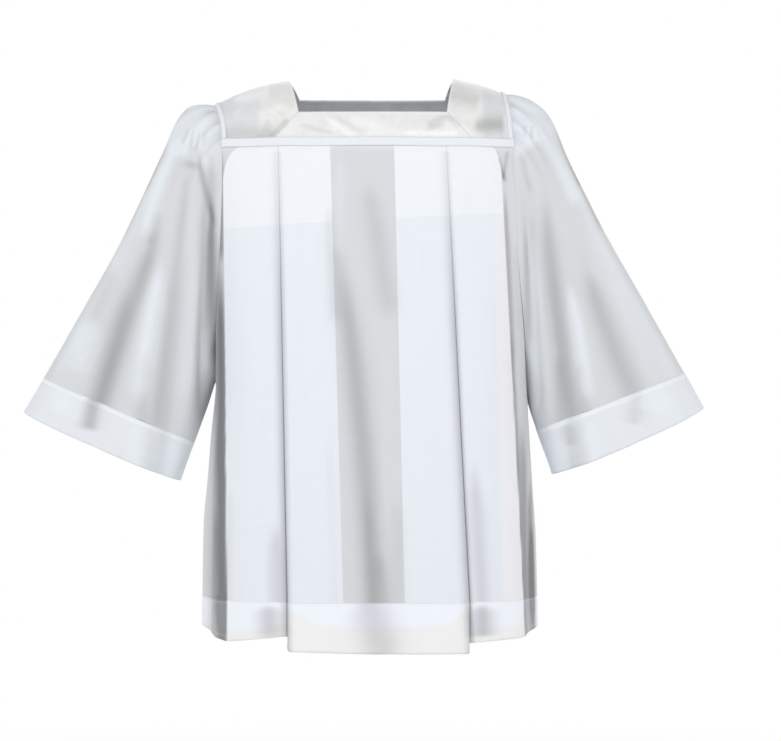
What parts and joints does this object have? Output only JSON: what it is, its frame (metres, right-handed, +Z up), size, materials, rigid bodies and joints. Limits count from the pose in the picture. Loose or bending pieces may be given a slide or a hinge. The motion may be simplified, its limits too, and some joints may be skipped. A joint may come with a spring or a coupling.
{
  "type": "surplice",
  "caption": "Square-yoke surplice in the hollow shape it has when worn: pleated sheer body, wide bell sleeves, doubled hem and cuff bands, open neck.",
  "frame": {"origin": "middle of the neck opening, level with the tops of the shoulders, where the wearer's neck and shoulders hold the garment up", "axes": "+Z up, -Y towards the front, +X towards the viewer's right when facing the front"},
  "size_m": [1.0591, 0.3268, 0.8818],
  "materials": {
    "voile": "matte sheer white polyester-cotton voile",
    "sleeve_voile": "matte sheer white voile, single",
    "band": "matte white voile, doubled",
    "cuff_band": "matte white voile, doubled",
    "satin": "soft satin sheen, white",
    "welt": "white woven band, slight sheen"
  },
  "bodies": {
    "root": {"yoke_front": "satin", "yoke_back": "satin", "yoke_shoulder_left": "satin", "yoke_shoulder_right": "satin", "yoke_welt_front": "welt", "yoke_welt_back": "welt", "armhole_piping_left": "welt", "armhole_piping_right": "welt", "body_front": "voile", "body_back": "voile", "sleeve_left": "sleeve_voile", "sleeve_right": "sleeve_voile", "hem_band_front": "band", "hem_band_back": "band", "cuff_band_left": "cuff_band", "cuff_band_right": "cuff_band"}
  },
  "joints": []
}
